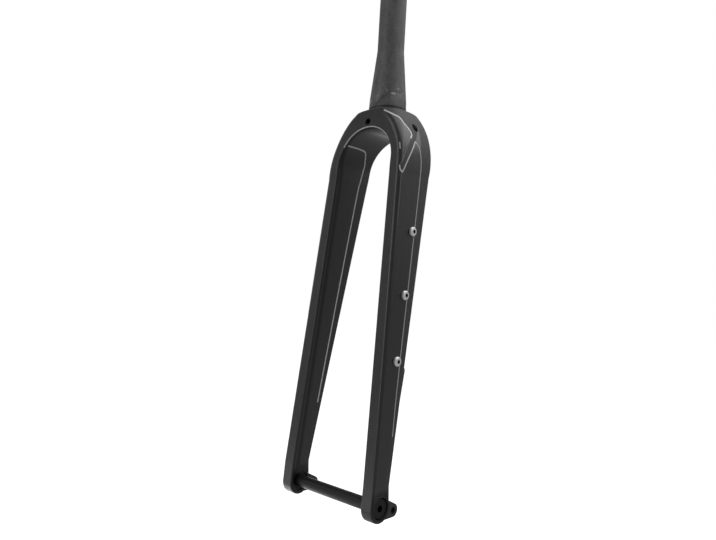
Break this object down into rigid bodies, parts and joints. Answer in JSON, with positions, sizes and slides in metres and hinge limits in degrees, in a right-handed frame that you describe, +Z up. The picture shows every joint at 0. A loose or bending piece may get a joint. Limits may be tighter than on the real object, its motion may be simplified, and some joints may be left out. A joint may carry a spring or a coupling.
{
  "type": "rigid bicycle fork",
  "caption": "Carbon disc-brake bicycle fork with a tapered steerer, an arched crown, straight tapering blades, cargo bosses and a thru-axle between its dropouts.",
  "frame": {"origin": "on the steerer axis at the foot of the crown race seat", "axes": "+Z up the steerer axis, +X forward, +Y to the rider's left"},
  "size_m": [0.0871, 0.126, 0.7056],
  "materials": {
    "carbon_gloss": "glossy black lacquer over carbon",
    "carbon_raw": "bare sanded carbon",
    "black_anodised": "black anodised",
    "alloy": "turned",
    "steel": "bright",
    "rubber": "moulded"
  },
  "bodies": {
    "root": {"fork_body": "carbon_gloss", "steerer": "carbon_raw", "thru_axle": "black_anodised", "axle_bush": "black_anodised", "axle_nut": "black_anodised", "crown_insert": "black_anodised", "eyelet_insert_left": "black_anodised", "eyelet_insert_right": "black_anodised", "brake_insert_upper": "alloy", "brake_insert_lower": "alloy", "hose_port": "rubber", "hose_exit": "rubber", "boss_insert_left_1": "alloy", "boss_insert_left_2": "alloy", "boss_insert_left_3": "alloy", "boss_insert_right_1": "alloy", "boss_insert_right_2": "alloy", "boss_insert_right_3": "alloy", "boss_screw_left_1": "steel", "boss_screw_left_2": "steel", "boss_screw_left_3": "steel", "boss_screw_right_1": "steel", "boss_screw_right_2": "steel", "boss_screw_right_3": "steel"}
  },
  "joints": []
}
